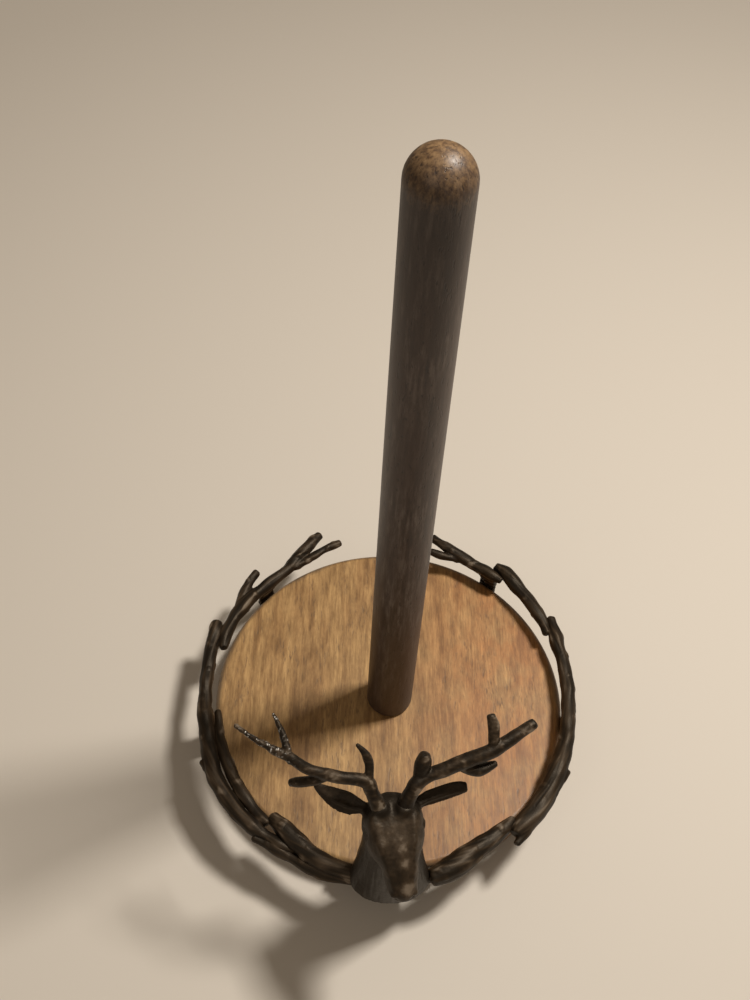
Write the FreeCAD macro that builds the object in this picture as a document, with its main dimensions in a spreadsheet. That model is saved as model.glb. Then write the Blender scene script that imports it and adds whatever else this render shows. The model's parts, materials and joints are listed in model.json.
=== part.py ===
import FreeCAD, Part
import math
import os
import Sketcher
from FreeCAD import Rotation, Vector

# An upright paper towel holder: a round wooden base with a domed wooden post,
# and round the rim a wreath of cast antler lengths that carries a stag's head
# with its own antlers at the front.
# Origin: centre of the felt's underside. +Z up, the stag faces -Y.
# All lengths are in millimetres and all angles in degrees.

doc = FreeCAD.newDocument("PaperTowelHolder")

DIMENSIONS = {
    "felt_diameter": 150,
    "felt_thickness": 2,
    "disc_diameter": 175,
    "disc_thickness": 19,
    "disc_top_round": 3,
    "disc_bottom_round": 1.5,
    "post_diameter": 22.5,
    "post_height": 330,
    "post_foot_round": 2.5,
    "tenon_diameter": 14,
    "tenon_length": 8,
    "fit_gap": 0.05,
    "counterbore_diameter": 17,
    "counterbore_depth": 5,
    "washer_diameter": 15,
    "washer_thickness": 1.2,
    "post_screw_diameter": 5,
    "post_screw_head_diameter": 9.5,
    "post_screw_head_height": 3,
    "post_screw_length": 42,
    "wreath_radius": 91,
    "wreath_height": 12,
    "antler_diameter": 8,
    "lug_width": 10,
    "lug_thickness": 2.6,
    "lug_hook": 4,
    "lug_foot_height": 8,
    "rim_screw_height": 13,
    "rim_screw_diameter": 3.5,
    "rim_screw_head_diameter": 6.6,
    "rim_screw_head_height": 2,
    "rim_screw_length": 18,
    "neck_plate_angle": 30,
    "neck_plate_height": 13.5,
    "poll_forward": 91,
    "poll_height": 106,
    "spigot_diameter": 3.4,
    "spigot_length": 11,
}
LUGS = {"rear_right": 52.5, "rear_left": 137.5, "left": 190, "right": -8}
NECK_SCREW_ANGLES = (-102, -78)

sheet = doc.addObject("Spreadsheet::Sheet", "Sizes")
for row, (alias, value) in enumerate(DIMENSIONS.items(), start=1):
    sheet.set(f"A{row}", alias)
    sheet.set(f"B{row}", str(value))
    sheet.setAlias(f"B{row}", alias)
doc.recompute()

DISC_TOP = "(Sizes.felt_thickness + Sizes.disc_thickness)"
DISC_RADIUS = "Sizes.disc_diameter / 2"
SCREW_SEAT = "(Sizes.felt_thickness + Sizes.counterbore_depth - Sizes.washer_thickness)"

finished = []


# Helpers


def keep(piece, name):
    """Give a finished piece the name of the file that it is written to."""
    piece.Label = name
    finished.append(piece)
    return piece


def bind(piece, formulas):
    """Bind each named property to a formula on the sheet."""
    for name, formula in formulas.items():
        piece.setExpression(name, str(formula))
    return piece


def put(piece, x=0, y=0, z=0):
    """Bind a piece's position."""
    base = "Placement.Base."
    return bind(piece, {base + "x": x, base + "y": y, base + "z": z})


def cylinder(name, radius, height):
    piece = doc.addObject("Part::Cylinder", name)
    return bind(piece, {"Radius": radius, "Height": height})


def fused(name, *pieces):
    joined = doc.addObject("Part::MultiFuse", name)
    joined.Shapes = pieces
    return joined


def cut(name, base, *tools):
    """Cut the tools from the base, one after the other."""
    for number, tool in enumerate(tools, start=1):
        result = doc.addObject("Part::Cut", f"{name}_cut_{number}")
        result.Base = base
        result.Tool = tool
        base = result
    return base


def radial(piece, angle, start, height):
    """Turn a piece that stands along Z to lie along the ray at this angle.

    It begins at the radius start and points to the base's axis.
    """
    piece.Placement.Rotation = Rotation(Vector(0, 0, 1), Vector(-math.cos(math.radians(angle)),
                                                                -math.sin(math.radians(angle)), 0))
    return put(piece, f"({start}) * cos({angle})", f"({start}) * sin({angle})", height)


def circle_sketch(body, name, diameter, height="0"):
    """A circle on the body's XY plane, centred on Z and raised by height."""
    sketch = body.newObject("Sketcher::SketchObject", name)
    plane = next(f for f in body.Origin.OriginFeatures if f.Role == "XY_Plane")
    sketch.AttachmentSupport = (plane, [""])
    sketch.MapMode = "FlatFace"
    sketch.addGeometry(Part.Circle(Vector(0, 0, 0), Vector(0, 0, 1), 5))
    sketch.addConstraint(Sketcher.Constraint("Coincident", 0, 3, -1, 1))
    sketch.addConstraint(Sketcher.Constraint("Diameter", 0, 10))
    bind(sketch, {"Constraints[1]": diameter, "AttachmentOffset.Base.z": height})
    return sketch


def pad(body, sketch, length):
    feature = body.newObject("PartDesign::Pad", sketch.Name + "_pad")
    feature.Profile = sketch
    return bind(feature, {"Length": length})


def pocket(body, sketch, length, upwards=False):
    """Cut the sketch's outline from the body, down from the sketch or up."""
    feature = body.newObject("PartDesign::Pocket", sketch.Name + "_pocket")
    feature.Profile = sketch
    feature.Reversed = upwards
    return bind(feature, {"Length": length})


def round_edge(body, feature, radius_alias, edge_radius, edge_height):
    """Fillet the circular edge with this radius and height."""
    doc.recompute()
    names = []
    for number, edge in enumerate(feature.Shape.Edges, start=1):
        if edge.Degenerated or not isinstance(edge.Curve, Part.Circle):
            continue
        curve = edge.Curve
        if abs(curve.Radius - edge_radius) < 0.01 and abs(curve.Center.z - edge_height) < 0.01:
            names.append(f"Edge{number}")
    fillet = body.newObject("PartDesign::Fillet", f"{feature.Name}_round")
    fillet.Base = (feature, names)
    return bind(fillet, {"Radius": f"Sizes.{radius_alias}"})


def size(alias):
    return float(sheet.get(alias))


# Base, post and felt


def make_disc_blank():
    body = doc.addObject("PartDesign::Body", "disc")
    put(body, z="Sizes.felt_thickness")
    outline = circle_sketch(body, "disc_outline", "Sizes.disc_diameter")
    blank = pad(body, outline, "Sizes.disc_thickness")
    rim = size("disc_diameter") / 2
    top = round_edge(body, blank, "disc_top_round", rim, size("disc_thickness"))
    round_edge(body, top, "disc_bottom_round", rim, 0)
    socket = circle_sketch(body, "socket", "Sizes.tenon_diameter + 2 * Sizes.fit_gap",
                           "Sizes.disc_thickness")
    pocket(body, socket, "Sizes.tenon_length + 0.5")
    passage = circle_sketch(body, "screw_passage", "Sizes.post_screw_diameter + 0.4",
                            "Sizes.disc_thickness")
    pocket(body, passage, "Sizes.disc_thickness")
    counterbore = circle_sketch(body, "counterbore", "Sizes.counterbore_diameter")
    pocket(body, counterbore, "Sizes.counterbore_depth", upwards=True)
    return body


def make_post():
    """Half profile in the XZ plane, turned about Z: tenon, shaft and dome."""
    body = doc.addObject("PartDesign::Body", "post_body")
    put(body, z=DISC_TOP)
    tenon, length = size("tenon_diameter") / 2, size("tenon_length")
    shaft, height = size("post_diameter") / 2, size("post_height")
    corners = [Vector(0, -length, 0), Vector(tenon, -length, 0), Vector(tenon, 0, 0),
               Vector(shaft, 0, 0), Vector(shaft, height - shaft, 0), Vector(0, height, 0)]
    middle = Vector(shaft * math.sqrt(0.5), height - shaft + shaft * math.sqrt(0.5), 0)
    sketch = body.newObject("Sketcher::SketchObject", "post_profile")
    plane = next(f for f in body.Origin.OriginFeatures if f.Role == "XZ_Plane")
    sketch.AttachmentSupport = (plane, [""])
    sketch.MapMode = "FlatFace"
    for start, end in zip(corners[:4], corners[1:5]):
        sketch.addGeometry(Part.LineSegment(start, end))
    sketch.addGeometry(Part.Arc(corners[4], middle, corners[5]))
    sketch.addGeometry(Part.LineSegment(corners[5], corners[0]))
    rules = [("Coincident", 0, 2, 1, 1), ("Coincident", 1, 2, 2, 1), ("Coincident", 2, 2, 3, 1),
             ("Coincident", 3, 2, 4, 1), ("Coincident", 4, 2, 5, 1), ("Coincident", 5, 2, 0, 1),
             ("Horizontal", 0), ("Vertical", 1), ("Horizontal", 2), ("Vertical", 3),
             ("PointOnObject", 0, 1, -2), ("PointOnObject", 4, 2, -2), ("PointOnObject", 4, 3, -2),
             ("PointOnObject", 2, 1, -1), ("Horizontal", 4, 3, 3, 2)]
    for rule in rules:
        sketch.addConstraint(Sketcher.Constraint(*rule))
    driven = [(("DistanceX", -1, 1, 1, 1, tenon), "Sizes.tenon_diameter / 2"),
              (("DistanceX", -1, 1, 3, 1, shaft), "Sizes.post_diameter / 2"),
              (("DistanceY", 0, 1, -1, 1, length), "Sizes.tenon_length"),
              (("DistanceY", -1, 1, 4, 2, height), "Sizes.post_height")]
    for rule, formula in driven:
        index = sketch.addConstraint(Sketcher.Constraint(*rule))
        bind(sketch, {f"Constraints[{index}]": formula})
    turned = body.newObject("PartDesign::Revolution", "post_turned")
    turned.Profile = sketch
    turned.ReferenceAxis = (sketch, ["V_Axis"])
    turned.Angle = 360
    round_edge(body, turned, "post_foot_round", shaft, 0)
    pilot = circle_sketch(body, "pilot", "Sizes.post_screw_diameter + 2 * Sizes.fit_gap",
                          "-Sizes.tenon_length")
    reach = f"{SCREW_SEAT} + Sizes.post_screw_length - {DISC_TOP} + Sizes.tenon_length + 1"
    pocket(body, pilot, reach, upwards=True)
    return keep(body, "post")


def make_felt():
    body = doc.addObject("PartDesign::Body", "felt")
    pad(body, circle_sketch(body, "felt_outline", "Sizes.felt_diameter"), "Sizes.felt_thickness")
    return keep(body, "felt_pad")


def make_washer():
    body = doc.addObject("PartDesign::Body", "washer")
    put(body, z=SCREW_SEAT)
    pad(body, circle_sketch(body, "washer_outline", "Sizes.washer_diameter"),
        "Sizes.washer_thickness")
    hole = circle_sketch(body, "washer_hole", "Sizes.post_screw_diameter + 0.4")
    pocket(body, hole, "Sizes.washer_thickness", upwards=True)
    return keep(body, "post_washer")


def make_post_screw():
    """Flat head, shank and a turned point, with the head against the washer."""
    head = put(cylinder("post_screw_head", "Sizes.post_screw_head_diameter / 2",
                        "Sizes.post_screw_head_height"),
               z=f"{SCREW_SEAT} - Sizes.post_screw_head_height")
    point = doc.addObject("Part::Cone", "post_screw_point")
    bind(point, {"Radius1": "Sizes.post_screw_diameter / 2", "Radius2": 0.4,
                 "Height": "Sizes.post_screw_diameter * 1.2"})
    put(point, z=f"{SCREW_SEAT} + Sizes.post_screw_length - Sizes.post_screw_diameter * 1.2")
    shank = put(cylinder("post_screw_shank", "Sizes.post_screw_diameter / 2",
                         "Sizes.post_screw_length - Sizes.post_screw_diameter * 1.2"),
                z=SCREW_SEAT)
    return keep(fused("post_screw_turned", head, shank, point), "post_screw")


# Branches of cast antler


def lofted(name, sections):
    """A smooth solid through closed sections, in order."""
    loft = doc.addObject("Part::Loft", name)
    loft.Sections = sections
    loft.Solid = True
    loft.Ruled = False
    return loft


def tangents(points):
    """The direction of the path at each point."""
    last = len(points) - 1
    ways = []
    for index in range(len(points)):
        ahead = points[min(index + 1, last)]
        behind = points[max(index - 1, 0)]
        ways.append((ahead - behind).normalize())
    return ways


def carried_along(ways):
    """A direction across each way, turned as little as can be from one to the next."""
    across = Vector(0, 0, 1) if abs(ways[0].z) < 0.9 else Vector(1, 0, 0)
    carried = []
    for way in ways:
        across = (across - way * across.dot(way)).normalize()
        carried.append(Vector(across))
    return carried


def branch(name, points, formulas, factors):
    """A round branch through the points, with rounded ends.

    points are the path at the sheet's present values, formulas the same places
    bound to the sheet, and factors each section's radius over half of the
    antler diameter.
    """
    half = size("antler_diameter") / 2
    ways = tangents(points)
    starts = carried_along(ways)
    sections = []

    def section(index, along, factor):
        ring = doc.addObject("Part::Circle", f"{name}_section")
        ring.Placement.Rotation = Rotation(starts[index], Vector(), ways[index], "ZXY")
        bind(ring, {"Radius": f"Sizes.antler_diameter / 2 * {factor}"})
        shift = ways[index] * along
        put(ring, *(f"{formula} + ({offset:.3f})" for formula, offset in zip(formulas[index], shift)))
        sections.append(ring)

    last = len(points) - 1
    for index, factor in enumerate(factors):
        radius = half * factor
        if index == 0:
            section(0, -0.95 * radius, round(0.35 * factor, 3))
            section(0, -0.65 * radius, round(0.78 * factor, 3))
        section(index, 0, factor)
        if index == last:
            section(last, 0.65 * radius, round(0.78 * factor, 3))
            section(last, 0.95 * radius, round(0.35 * factor, 3))
    return lofted(name, sections)


def wreath_branch(name, knots):
    """knots: angle round the base, distance out of the wreath's circle, height
    over the wreath's own, and thickness factor."""
    points, formulas, factors = [], [], []
    radius = size("wreath_radius")
    base = size("felt_thickness") + size("disc_thickness") + size("wreath_height")
    for angle, out, up, factor in knots:
        reach = radius + out
        points.append(Vector(reach * math.cos(math.radians(angle)),
                             reach * math.sin(math.radians(angle)), base + up))
        formulas.append((f"(Sizes.wreath_radius + {out}) * cos({angle})",
                         f"(Sizes.wreath_radius + {out}) * sin({angle})",
                         f"{DISC_TOP} + Sizes.wreath_height + {up}"))
        factors.append(factor)
    return branch(name, points, formulas, factors)


def poll_formulas(x, y, z):
    """A place given from the poll, the top of the stag's head between its antlers."""
    return (f"{x}", f"{y} - Sizes.poll_forward", f"{z} + Sizes.poll_height")


def head_branch(name, knots):
    """knots: place from the poll, and thickness factor."""
    poll = Vector(0, -size("poll_forward"), size("poll_height"))
    points = [poll + Vector(x, y, z) for x, y, z, factor in knots]
    formulas = [poll_formulas(x, y, z) for x, y, z, factor in knots]
    return branch(name, points, formulas, [knot[3] for knot in knots])


# The stag's head


def oval(name, place, across, along, wide, deep):
    """An oval section at a place from the poll, wide along across."""
    ring = doc.addObject("Part::Ellipse", name)
    ring.MajorRadius = max(wide, deep)
    ring.MinorRadius = min(wide, deep)
    normal = along.normalize()
    side = (across - normal * across.dot(normal)).normalize()
    if deep > wide:
        side = normal.cross(side)
    ring.Placement.Rotation = Rotation(side, Vector(), normal, "ZXY")
    return put(ring, *poll_formulas(*place))


def oval_loft(name, stations, across, along=None):
    """stations: place from the poll, half width and half depth."""
    points = [Vector(*station[:3]) for station in stations]
    ways = [Vector(*along)] * len(points) if along else tangents(points)
    rings = [oval(f"{name}_section", station[:3], Vector(*across), Vector(way), *station[3:])
             for station, way in zip(stations, ways)]
    return lofted(name, rings)


def make_head_blank():
    """Neck, skull with muzzle, two ears and the curved plate on the rim."""
    neck = oval_loft("neck", [
        (-1, 0, -97, 10, 4), (-1, -2, -90, 13, 6.5), (-1, -4, -76, 18, 11),
        (-1.5, -3.5, -58, 15.5, 12.5), (-2, -3, -40, 13, 13), (-2.5, -2, -22, 12, 13),
        (-3, 1, -8, 10.5, 9.5)], across=(1, 0, 0), along=(0, 0, 1))
    skull = oval_loft("skull", [
        (-3, 6.5, -6, 5, 5), (-3, 2.5, -6.5, 10, 8.5), (-2.5, -4.5, -7.5, 12.3, 9.5),
        (-1, -13, -10.5, 10.2, 9), (0.3, -20, -13.5, 7.2, 7.2), (1.3, -26, -16.5, 5.6, 5.6),
        (1.9, -30, -18.5, 5, 4.8), (2.2, -32.5, -19.7, 3, 3)], across=(1, 0, 0))
    ear_left = oval_loft("ear_left", [
        (-9, -1, -5, 2.4, 2), (-14.4, 0.2, -5, 2.6, 2), (-20.9, 2.6, -4.8, 4.2, 1.8),
        (-26.5, 4.6, -4.3, 4.6, 1.7), (-31.6, 7.2, -4, 3.4, 1.5),
        (-35, 9.2, -3.8, 1.4, 1)], across=(0.1, 0.8, 0.6))
    ear_right = oval_loft("ear_right", [
        (4, -1, -5, 2.4, 2), (7.9, 2.7, -5, 2.8, 2), (12.5, 5, -4.7, 3.5, 1.8),
        (17.7, 6.8, -4.4, 3.6, 1.7), (23, 8.6, -4.1, 3.4, 1.5),
        (27.8, 9.5, -3.8, 2.4, 1.2)], across=(-0.1, 0.8, 0.6))
    plate = cylinder("neck_plate", f"{DISC_RADIUS} + Sizes.lug_thickness", "Sizes.neck_plate_height")
    plate.Placement.Rotation = Rotation(Vector(0, 0, 1), -90 - size("neck_plate_angle") / 2)
    bind(plate, {"Angle": "Sizes.neck_plate_angle"})
    put(plate, z="Sizes.lug_foot_height - 1")
    whole = fused("head_whole", neck, skull, ear_left, ear_right, plate)
    return cut("head_blank", whole, disc_cylinder)


def make_spigot(name, radius, place, way):
    """The pin under an antler, which fills a hole in the head."""
    pin = cylinder(name, radius, "Sizes.spigot_length")
    pin.Placement.Rotation = Rotation(Vector(0, 0, 1), Vector(*way))
    return put(pin, *poll_formulas(*place))


ANTLERS = {
    "left_antler": {
        "spigot": ((-5.6, -3, -6.5), (-0.42, 0.3, 1)),
        "beam": [
            (-6.6, -2.6, -4, 0.7), (-8.4, -1.8, 0, 0.7), (-11.2, 2.3, 5.1, 0.65),
            (-14, 5.4, 9.5, 0.68), (-22.2, 5.9, 11.3, 0.62), (-30.8, 7.2, 12.1, 0.6),
            (-37.7, 9, 13, 0.58), (-44.7, 13.7, 13, 0.55), (-51.7, 16.2, 14.7, 0.38),
            (-58.7, 19.5, 16.5, 0.3), (-66.7, 24.3, 18.2, 0.22)],
        "tines": [
            [(-13.4, 4, 8, 0.4), (-12.9, 9.8, 13.4, 0.48), (-14.5, 13, 18.2, 0.42),
             (-18, 15.2, 21.8, 0.2)],
            [(-44.2, 11.8, 12.4, 0.36), (-46.2, 18, 14.8, 0.42), (-48.2, 23, 17.2, 0.38),
             (-51.7, 29, 20, 0.2)],
            [(-28, 7, 11.5, 0.4), (-33.4, 6.4, 8, 0.5), (-39, 6.8, 5, 0.52),
             (-44.2, 7.5, 2.5, 0.42)]],
    },
    "right_antler": {
        "spigot": ((0.2, -3.4, -6.5), (0.3, 0.35, 1)),
        "beam": [
            (0.8, -2.6, -4, 0.75), (1.5, -1.6, 0, 0.75), (3.9, 2.6, 5.1, 0.75),
            (5.9, 5.2, 8.6, 0.78), (10.6, 8.1, 9.5, 0.75), (18.4, 10.7, 11.3, 0.75),
            (27, 13.8, 13, 0.75), (35.7, 16.8, 14.7, 0.75), (44.5, 21.8, 16.5, 0.68),
            (53, 27.3, 18.2, 0.56)],
        "tines": [
            [(6.3, 6.5, 8.6, 0.6), (8.2, 10.7, 13.9, 0.8), (8.9, 13, 17.4, 0.62)],
            [(36.3, 16.8, 14.6, 0.5), (36.6, 22.9, 20.9, 0.56), (35.2, 27.3, 24.4, 0.46)],
            [(23, 12, 11, 0.4), (27.5, 11.8, 8.2, 0.6), (33, 12.6, 7, 0.72),
             (38.1, 14.4, 7.8, 0.35)]],
    },
}


def make_antler(name, shape, head_blank):
    """A beam with its tines, let into the head by a spigot."""
    pieces = [head_branch(f"{name}_beam", shape["beam"])]
    for number, tine in enumerate(shape["tines"], start=1):
        pieces.append(head_branch(f"{name}_tine_{number}", tine))
    clear = cut(f"{name}_clear", fused(f"{name}_grown", *pieces), head_blank)
    spigot = make_spigot(f"{name}_spigot", "Sizes.spigot_diameter / 2", *shape["spigot"])
    return keep(fused(f"{name}_whole", clear, spigot), name)


# The wreath

WREATH = {
    "side_left": [[
        (159, 4.2, 0, 0.68), (163, 2.7, 0, 0.8), (168.5, 1.5, 0, 0.8), (177, 0.8, 0, 0.76),
        (186, 0.7, 0, 0.78), (192.5, 1.4, 0, 0.88), (199, 2.1, 0, 0.92), (205.5, 3.8, 0, 0.88),
        (211.5, 5.6, 0, 0.98), (217.5, 6, 0, 0.92), (223, 6.2, 0, 0.9), (228, 6, 0, 0.82),
        (232.5, 5.1, -1, 0.68), (238, 4.2, -1.5, 0.6), (242, 3.8, -2, 0.5)],
        [(205.2, 7.6, 0, 0.4), (209, 6.6, 0, 0.55), (214.5, 5.8, 0, 0.7)]],
    "side_left_inner": [[
        (190.5, -5.2, 0, 0.4), (200.5, -3.6, 0, 0.58), (208.5, -2.5, 0, 0.68),
        (215.5, -1.5, 0, 0.72), (222, -0.6, 0, 0.7), (228, 0.2, 0, 0.6), (231, 0.6, 0, 0.5)]],
    "rear_left": [[
        (113.2, 6, 2, 0.6), (118.2, 1.8, 2, 0.68), (122.7, -0.6, 1, 0.8), (128.2, -3.6, 0, 0.7),
        (134.3, -4.1, 0, 0.73), (140.3, -3.7, 0, 0.75), (146, -2.8, 0, 0.8), (151.5, -2.6, 0, 0.83),
        (156.5, -2.2, 0, 0.78), (162, -2.6, 0, 0.72), (166.2, -4, 0, 0.58)],
        [(107.8, -1.9, 2, 0.45), (113, -3.3, 2, 0.47), (119, -4.6, 1, 0.48), (126, -4.2, 0, 0.55)],
        [(137.4, 5.2, 1, 0.46), (141.3, 3.6, 1, 0.6), (146, 1.2, 0, 0.66), (151, -1.6, 0, 0.6)]],
    "side_right": [[
        (25.5, 2.6, 0, 0.62), (21.9, 0.9, 0, 0.74), (16.4, -0.9, 0, 0.79), (10, -1.5, 0, 0.78),
        (3.4, -1.7, 0, 0.78), (-3.8, -2, 0, 0.82), (-10.8, -2, 0, 0.84), (-17.8, -1.3, 0, 0.9),
        (-23.8, -0.8, 0, 1), (-30, 0, 0, 1.1), (-36, 0.8, 0, 1.15), (-42, 1.6, 0, 1.18),
        (-47, 1.8, 0, 1.15), (-51.8, 3.2, 0, 0.92)],
        [(-27.4, 4.4, 0, 0.34), (-30.5, 3.2, 0, 0.5), (-35.5, 1.4, 0, 0.6)],
        [(-54, 7, 0, 0.45), (-51, 5.4, 0, 0.6), (-46.5, 3, 0, 0.7)]],
    "rear_right": [[
        (51.2, 1.2, 1, 0.6), (47.8, 1.3, 0.5, 0.88), (43.8, 0.5, 0, 0.92), (38.8, -0.8, 0, 0.86),
        (33.7, -1.4, 0, 0.76), (29.4, -1.8, 0, 0.73), (24.8, -2.5, 0, 0.67), (22, -3.5, 0, 0.54)]],
    "rear_right_fork": [[
        (75, 1.6, 2, 0.52), (70.3, -1.4, 2, 0.6), (65.7, -3.3, 1, 0.75), (59, -4.3, 0, 0.7),
        (54.2, -4, 0, 0.74), (50.3, -4.1, 0, 0.74), (47.3, -3.7, 0, 0.52)],
        [(74.3, -7.7, 2, 0.44), (69.2, -7.4, 1, 0.47), (63.5, -4.9, 0, 0.5)]],
    "front_left_upper": [[
        (232, -2.8, 0, 0.7), (237.5, -1.7, 0, 1.06), (243, 0.4, 0, 1.07), (248.2, 2.5, 0, 0.95),
        (253.5, 3.7, 0, 0.9), (258.5, 4.2, 0, 0.84), (263, 4.8, -1, 0.8)]],
    "front_left_lower": [[
        (231.2, 8.6, -2, 0.46), (235, 7.5, -2, 0.54), (240, 6.5, -3, 0.62), (245.5, 6.4, -3, 0.7),
        (251.5, 6.6, -3, 0.77), (257.5, 6, -3, 0.77), (263, 6.2, -3.5, 0.7)]],
    "front_right": [[
        (309.4, -2.2, 0, 0.46), (306, -1.8, 0, 0.73), (301, -1.3, 0, 0.96), (295, 0.1, 0, 1.14),
        (289.5, 2.4, 0, 1.25), (284.5, 4.7, 0, 1.22), (281.4, 6.2, 0, 0.95)]],
}
# Where lengths lie against each other, the first is shaped to the ones after it.
BRAZED_TO = {
    "side_left": (),
    "side_right": (),
    "side_left_inner": ("side_left",),
    "rear_left": ("side_left", "side_left_inner"),
    "rear_right": ("side_right",),
    "rear_right_fork": ("rear_right",),
    "front_left_upper": ("side_left", "side_left_inner", "head"),
    "front_left_lower": ("side_left", "front_left_upper", "head"),
    "front_right": ("side_right", "head"),
}
LUG_UNDER = {"rear_right": "rear_right_fork", "rear_left": "rear_left", "left": "side_left",
             "right": "side_right"}


def make_wreath(head_blank):
    """Every antler length, with the branches that grow from it."""
    lengths = {"head": head_blank}
    for name, neighbours in BRAZED_TO.items():
        stems = [wreath_branch(f"{name}_stem", knots) for knots in WREATH[name]]
        grown = fused(f"{name}_grown", *stems) if len(stems) > 1 else stems[0]
        lengths[name] = cut(name, grown, *(lengths[other] for other in neighbours))
        keep(lengths[name], f"wreath_{name}")
    return lengths


def make_screw_tools(name, angle, seat):
    """One rim screw and the hole that it needs, both along the ray at angle."""
    head = cylinder(f"{name}_head", "Sizes.rim_screw_head_diameter / 2",
                    "Sizes.rim_screw_head_height")
    radial(head, angle, f"{seat} + Sizes.rim_screw_head_height", "Sizes.rim_screw_height")
    shank = cylinder(f"{name}_shank", "Sizes.rim_screw_diameter / 2", "Sizes.rim_screw_length")
    radial(shank, angle, seat, "Sizes.rim_screw_height")
    hole = cylinder(f"{name}_hole", "Sizes.rim_screw_diameter / 2 + Sizes.fit_gap",
                    "Sizes.rim_screw_length + 0.5")
    radial(hole, angle, seat, "Sizes.rim_screw_height")
    return fused(f"{name}_whole", head, shank), hole


def make_lug(name, angle, length, hole):
    """A tab that lies on the rim, hooks over its top edge and holds a length."""
    tab = doc.addObject("Part::Box", f"lug_{name}_tab")
    inner = f"({DISC_RADIUS} - Sizes.lug_hook)"
    half = "Sizes.lug_width / 2"
    bind(tab, {"Length": "Sizes.lug_hook + Sizes.lug_thickness", "Width": "Sizes.lug_width",
               "Height": f"{DISC_TOP} + Sizes.wreath_height - Sizes.lug_foot_height"})
    tab.Placement.Rotation = Rotation(Vector(0, 0, 1), angle)
    put(tab, f"{inner} * cos({angle}) + {half} * sin({angle})",
        f"{inner} * sin({angle}) - {half} * cos({angle})", "Sizes.lug_foot_height")
    return keep(cut(f"lug_{name}", tab, disc_cylinder, length, hole), f"lug_{name}")


# Assembly

disc_cylinder = cylinder("disc_space", DISC_RADIUS, DISC_TOP)
disc_blank = make_disc_blank()
make_post()
make_felt()
make_washer()
make_post_screw()

head_blank = make_head_blank()
sockets = [make_spigot(f"{name}_socket", "Sizes.spigot_diameter / 2 + Sizes.fit_gap",
                       *shape["spigot"]) for name, shape in ANTLERS.items()]
lengths = make_wreath(head_blank)
for name, shape in ANTLERS.items():
    make_antler(name, shape, head_blank)

lug_screws, neck_screws, holes = [], [], []
seat = f"{DISC_RADIUS} + Sizes.lug_thickness"
for name, angle in LUGS.items():
    screw, hole = make_screw_tools(f"lug_screw_{name}", angle, seat)
    lug_screws.append(screw)
    holes.append(hole)
    make_lug(name, angle, lengths[LUG_UNDER[name]], hole)
for number, angle in enumerate(NECK_SCREW_ANGLES, start=1):
    screw, hole = make_screw_tools(f"neck_screw_{number}", angle, seat)
    neck_screws.append(screw)
    holes.append(hole)

keep(cut("stag_head", head_blank, *sockets, *holes[len(LUGS):]), "stag_head")
keep(cut("base_disc", disc_blank, fused("rim_holes", *holes)), "base_disc")
for group, screws in (("lug_screws", lug_screws), ("neck_screws", neck_screws)):
    bunch = doc.addObject("Part::Compound", f"{group}_group")
    bunch.Links = screws
    keep(bunch, group)

doc.recompute()
for thing in doc.Objects:
    if {"Invalid", "Error"} & set(thing.State):
        raise RuntimeError(f"{thing.Name} failed: {thing.State}")
for piece in finished:
    if piece.Shape.isNull() or not piece.Shape.isValid():
        raise RuntimeError(f"{piece.Label} has no valid shape")

os.makedirs("parts", exist_ok=True)
for piece in finished:
    solids = len(piece.Shape.Solids)
    print(f"{piece.Label}: {solids} solid(s), {piece.Shape.Volume / 1000:.2f} cm3")
    piece.Shape.exportStep(f"parts/{piece.Label}.step")
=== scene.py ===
import json
import math

import bmesh
import bpy
from mathutils import Matrix, Vector, noise

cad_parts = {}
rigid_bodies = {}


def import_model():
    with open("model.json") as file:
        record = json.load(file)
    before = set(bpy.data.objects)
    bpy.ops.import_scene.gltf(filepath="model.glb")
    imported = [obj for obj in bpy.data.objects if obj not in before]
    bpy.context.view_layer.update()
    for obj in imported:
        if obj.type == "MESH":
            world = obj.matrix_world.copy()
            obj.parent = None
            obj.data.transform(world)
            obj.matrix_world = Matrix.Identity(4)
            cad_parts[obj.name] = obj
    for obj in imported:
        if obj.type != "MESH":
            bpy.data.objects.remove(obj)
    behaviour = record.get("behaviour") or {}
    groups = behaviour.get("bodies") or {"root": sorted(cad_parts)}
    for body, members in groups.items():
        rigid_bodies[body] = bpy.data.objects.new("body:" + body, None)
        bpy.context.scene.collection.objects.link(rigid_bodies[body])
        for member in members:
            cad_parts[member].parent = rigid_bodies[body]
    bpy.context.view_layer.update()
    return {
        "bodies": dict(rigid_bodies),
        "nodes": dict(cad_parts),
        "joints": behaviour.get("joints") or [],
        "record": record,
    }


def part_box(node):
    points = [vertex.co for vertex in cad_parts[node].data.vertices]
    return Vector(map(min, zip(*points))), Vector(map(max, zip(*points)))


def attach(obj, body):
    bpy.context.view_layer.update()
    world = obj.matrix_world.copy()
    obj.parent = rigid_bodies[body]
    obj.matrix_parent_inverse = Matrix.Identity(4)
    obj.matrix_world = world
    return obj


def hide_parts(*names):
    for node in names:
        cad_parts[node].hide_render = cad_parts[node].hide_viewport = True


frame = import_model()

mm = 0.001
nodes = frame["nodes"]
scene = bpy.context.scene
scene.view_settings.view_transform = "Standard"


# camera, floor and lights

view = {
    "place": (-26.0, -270.2, 546.6),
    "turn": (36.92, -2.07, 0.04),
    "lens": 41.4,
}


def makeCamera():
    data = bpy.data.cameras.new("camera")
    data.lens = view["lens"]
    data.clip_start = 0.01
    camera = bpy.data.objects.new("camera", data)
    camera.location = Vector(view["place"]) * mm
    camera.rotation_euler = [math.radians(angle) for angle in view["turn"]]
    scene.collection.objects.link(camera)
    scene.camera = camera


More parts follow.
